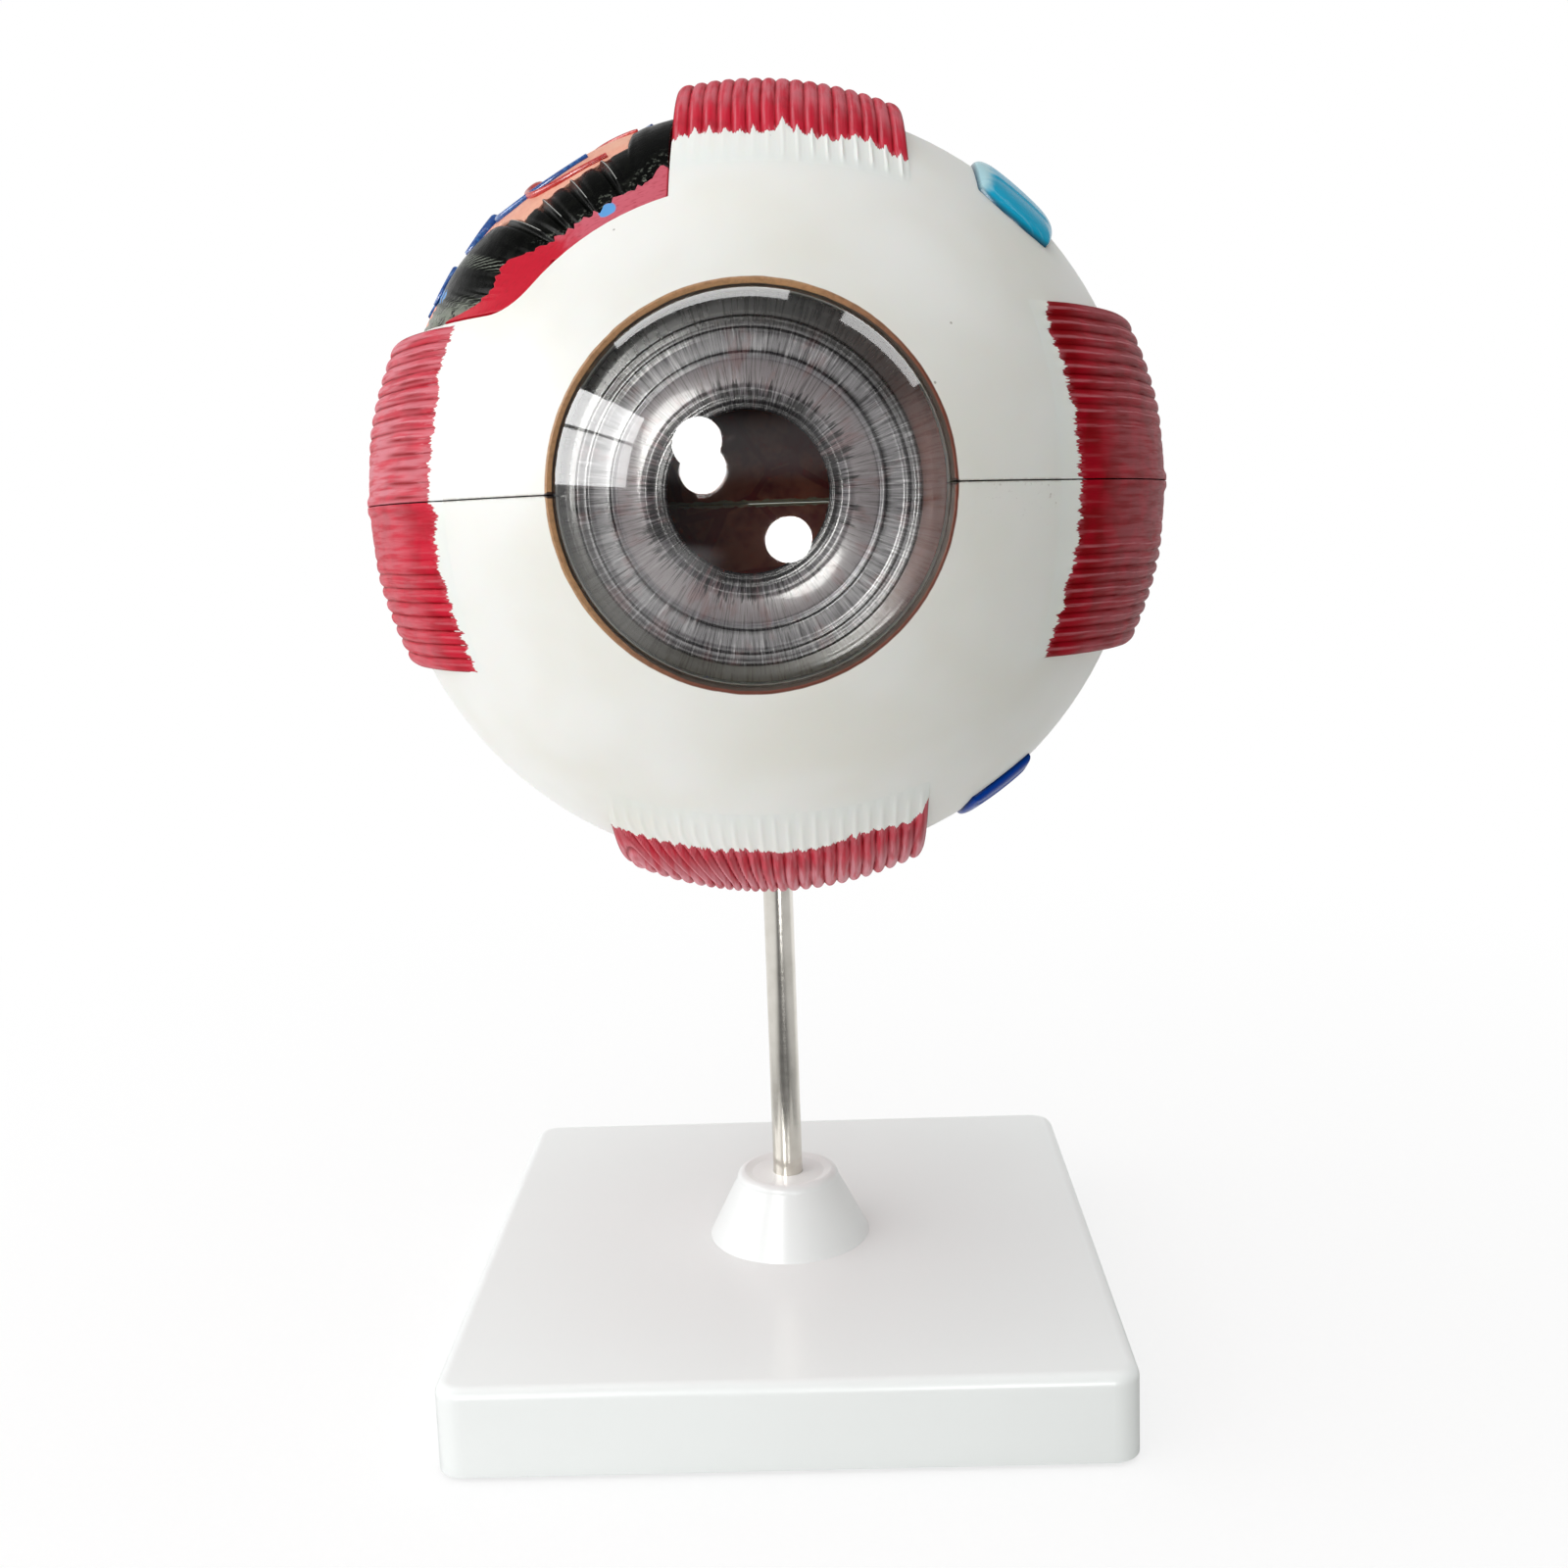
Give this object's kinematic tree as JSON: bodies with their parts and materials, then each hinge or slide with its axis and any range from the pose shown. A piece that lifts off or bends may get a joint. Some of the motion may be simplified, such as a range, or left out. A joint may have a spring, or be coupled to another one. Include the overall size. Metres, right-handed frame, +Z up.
{
  "type": "eye anatomy model",
  "caption": "Enlarged left eyeball teaching model on a rod and square plinth, with lift-off upper shells, cornea, iris, lens, vitreous body, muscles and optic nerve.",
  "frame": {"origin": "centre of the underside of the square plinth's non-slip pad", "axes": "+Z up along the support rod, -Y the way the cornea looks, +X the temple side of this left eye"},
  "size_m": [0.153, 0.168, 0.2453],
  "materials": {
    "white_abs": "glossy injection moulded ABS",
    "foam": "non-slip EVA sheet",
    "steel": "satin plated steel",
    "brass": "turned brass",
    "sclera_ivory": "satin painted PVC",
    "muscle_red": "hand painted, satin varnish",
    "oblique_light": "glossy enamel",
    "oblique_dark": "glossy enamel",
    "nerve_ivory": "satin painted PVC",
    "nerve_yellow": "satin painted PVC",
    "artery_red": "glossy enamel",
    "vein_blue": "glossy enamel",
    "choroid_red": "glossy enamel",
    "fold_black": "glossy enamel",
    "retina_peach": "glossy enamel",
    "retina_orange": "painted PVC, satin varnish",
    "ciliary_black": "painted PVC",
    "clear_vitreous": "clear moulded polystyrene",
    "clear_lens": "clear moulded acrylic",
    "iris_print": "printed disc under a clear coat",
    "clear_cornea": "clear vacuum formed PETG"
  },
  "bodies": {
    "stand": {"base_plate": "white_abs", "base_pad": "foam", "stand_collar": "white_abs", "support_rod": "steel", "rod_washer": "steel", "rod_nut": "steel"},
    "eyeball_lower": {"sclera_lower": "sclera_ivory", "locating_pins": "steel", "rod_socket": "brass", "inferior_rectus": "muscle_red", "medial_rectus_lower": "muscle_red", "lateral_rectus_lower": "muscle_red", "inferior_oblique": "oblique_dark", "nerve_sheath": "nerve_ivory", "optic_nerve": "nerve_yellow", "retinal_artery": "artery_red", "retinal_vein": "vein_blue", "retina_lower": "retina_orange", "ciliary_lower": "ciliary_black"},
    "vitreous": {"vitreous": "clear_vitreous"},
    "retina_upper": {"retina_upper": "retina_orange", "ciliary_upper": "ciliary_black"},
    "sclera_upper": {"sclera_upper": "sclera_ivory", "superior_rectus": "muscle_red", "medial_rectus_upper": "muscle_red", "lateral_rectus_upper": "muscle_red", "superior_oblique": "oblique_light", "window_choroid": "choroid_red", "window_folds": "fold_black", "window_retina": "retina_peach"},
    "lens": {"lens": "clear_lens"},
    "iris": {"iris": "iris_print"},
    "cornea": {"cornea": "clear_cornea"}
  },
  "joints": [
    {"name": "eyeball_swivel", "type": "hinge", "parent": "stand", "child": "eyeball_lower", "pos_m": [0, 0, 0.1], "axis": [0, 0, 1], "continuous": true},
    {"name": "vitreous_lift", "type": "slide", "parent": "eyeball_lower", "child": "vitreous", "axis": [0, 0.0349, 0.9994], "range_m": [0, 0.075]},
    {"name": "retina_lift", "type": "slide", "parent": "vitreous", "child": "retina_upper", "axis": [0, 0.0349, 0.9994], "range_m": [0, 0.075]},
    {"name": "sclera_lift", "type": "slide", "parent": "retina_upper", "child": "sclera_upper", "axis": [0, 0.0349, 0.9994], "range_m": [0, 0.08]},
    {"name": "lens_pull", "type": "slide", "parent": "eyeball_lower", "child": "lens", "axis": [0, -0.9994, 0.0349], "range_m": [0, 0.045]},
    {"name": "iris_pull", "type": "slide", "parent": "lens", "child": "iris", "axis": [0, -0.9994, 0.0349], "range_m": [0, 0.03]},
    {"name": "cornea_pull", "type": "slide", "parent": "iris", "child": "cornea", "axis": [0, -0.9994, 0.0349], "range_m": [0, 0.04]}
  ]
}
